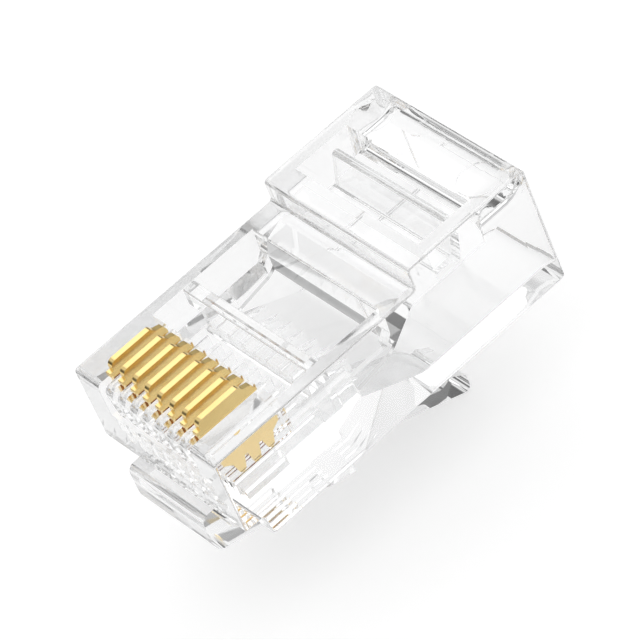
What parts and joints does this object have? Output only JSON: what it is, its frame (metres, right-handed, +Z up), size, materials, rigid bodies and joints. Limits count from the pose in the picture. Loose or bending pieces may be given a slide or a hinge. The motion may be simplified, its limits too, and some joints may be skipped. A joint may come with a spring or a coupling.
{
  "type": "rj45 modular plug",
  "caption": "Clear modular plug for network cable, with gold contact blades, a bending latch lever and crimp-down strain reliefs.",
  "frame": {"origin": "middle of the nose end, on the plane of the body's underside", "axes": "+X across the contacts, +Y from the nose back to the cable end, +Z up to the contact side, latch lever below"},
  "size_m": [0.0116, 0.0228, 0.0142],
  "materials": {
    "clear_body": "clear, polished",
    "clear_lever": "clear, polished",
    "clear_bar": "clear, polished",
    "clear_wedge": "clear, polished",
    "gold_contact": "gold plated, polished"
  },
  "bodies": {
    "housing": {"housing": "clear_body"},
    "latch_lever": {"latch_lever": "clear_lever"},
    "conductor_strain_relief": {"conductor_strain_relief": "clear_bar"},
    "jacket_strain_relief": {"jacket_strain_relief": "clear_wedge"},
    "contact_1": {"contact_1": "gold_contact"},
    "contact_2": {"contact_2": "gold_contact"},
    "contact_3": {"contact_3": "gold_contact"},
    "contact_4": {"contact_4": "gold_contact"},
    "contact_5": {"contact_5": "gold_contact"},
    "contact_6": {"contact_6": "gold_contact"},
    "contact_7": {"contact_7": "gold_contact"},
    "contact_8": {"contact_8": "gold_contact"}
  },
  "joints": [
    {"name": "latch_bend", "type": "hinge", "parent": "housing", "child": "latch_lever", "pos_m": [0, 0.0003, 0.00095], "axis": [1, 0, 0], "range_deg": [0, 15], "stiffness_Nm_per_rad": 0.05},
    {"name": "wire_bar_press", "type": "slide", "parent": "housing", "child": "conductor_strain_relief", "axis": [0, 0, -1], "range_m": [0, 0.00075]},
    {"name": "jacket_wedge_fold", "type": "hinge", "parent": "housing", "child": "jacket_strain_relief", "pos_m": [0, 0.01564, 0.0056], "axis": [-1, 0, 0], "range_deg": [0, 40]},
    {"name": "contact_1_press", "type": "slide", "parent": "housing", "child": "contact_1", "axis": [0, 0, -1], "range_m": [0, 0.00145]},
    {"name": "contact_2_press", "type": "slide", "parent": "housing", "child": "contact_2", "axis": [0, 0, -1], "range_m": [0, 0.00145]},
    {"name": "contact_3_press", "type": "slide", "parent": "housing", "child": "contact_3", "axis": [0, 0, -1], "range_m": [0, 0.00145]},
    {"name": "contact_4_press", "type": "slide", "parent": "housing", "child": "contact_4", "axis": [0, 0, -1], "range_m": [0, 0.00145]},
    {"name": "contact_5_press", "type": "slide", "parent": "housing", "child": "contact_5", "axis": [0, 0, -1], "range_m": [0, 0.00145]},
    {"name": "contact_6_press", "type": "slide", "parent": "housing", "child": "contact_6", "axis": [0, 0, -1], "range_m": [0, 0.00145]},
    {"name": "contact_7_press", "type": "slide", "parent": "housing", "child": "contact_7", "axis": [0, 0, -1], "range_m": [0, 0.00145]},
    {"name": "contact_8_press", "type": "slide", "parent": "housing", "child": "contact_8", "axis": [0, 0, -1], "range_m": [0, 0.00145]}
  ]
}
